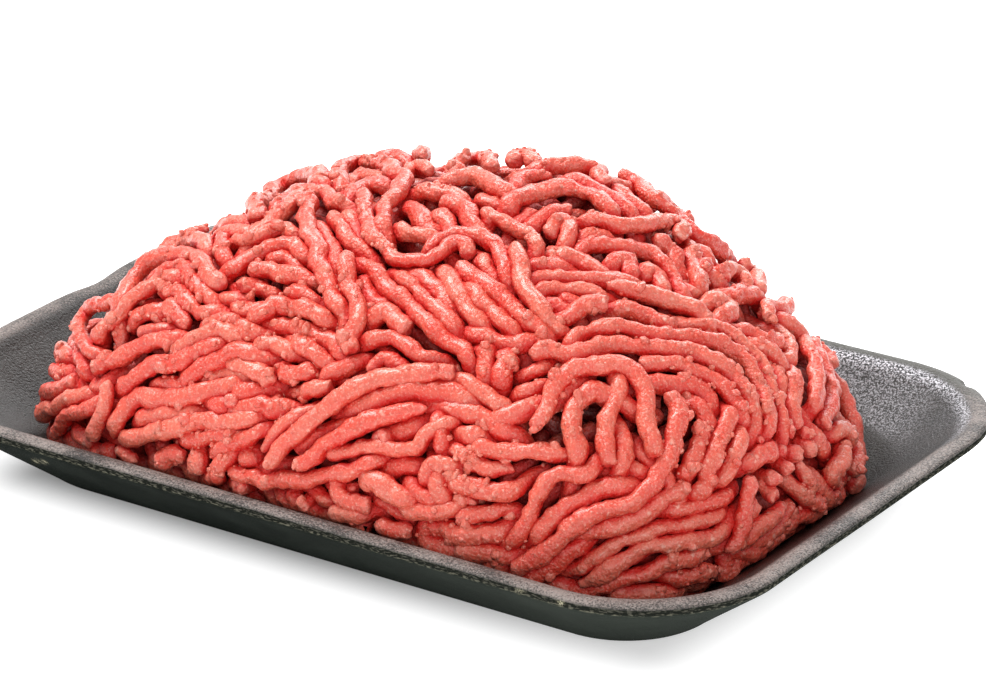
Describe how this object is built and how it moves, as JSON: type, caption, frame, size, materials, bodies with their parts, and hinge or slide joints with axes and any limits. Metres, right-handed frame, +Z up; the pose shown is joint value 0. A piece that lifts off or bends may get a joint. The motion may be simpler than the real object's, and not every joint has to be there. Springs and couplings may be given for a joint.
{
  "type": "meat tray pack",
  "caption": "Open rectangular foam food tray with rounded corners and sloping walls, heaped with raw minced meat in fine strands.",
  "frame": {"origin": "middle of the tray's footprint, on the surface that it stands on", "axes": "+X along the tray's long side, +Y towards its far long side, +Z up"},
  "size_m": [0.21, 0.143, 0.0736],
  "materials": {
    "tray_foam": "dark foam skin, finely speckled, slightly shiny",
    "raw_mince": "raw lean meat, moist, finely grainy, with pale flecks of fat"
  },
  "bodies": {
    "root": {"foam_tray": "tray_foam", "mince_heap": "raw_mince"}
  },
  "joints": []
}
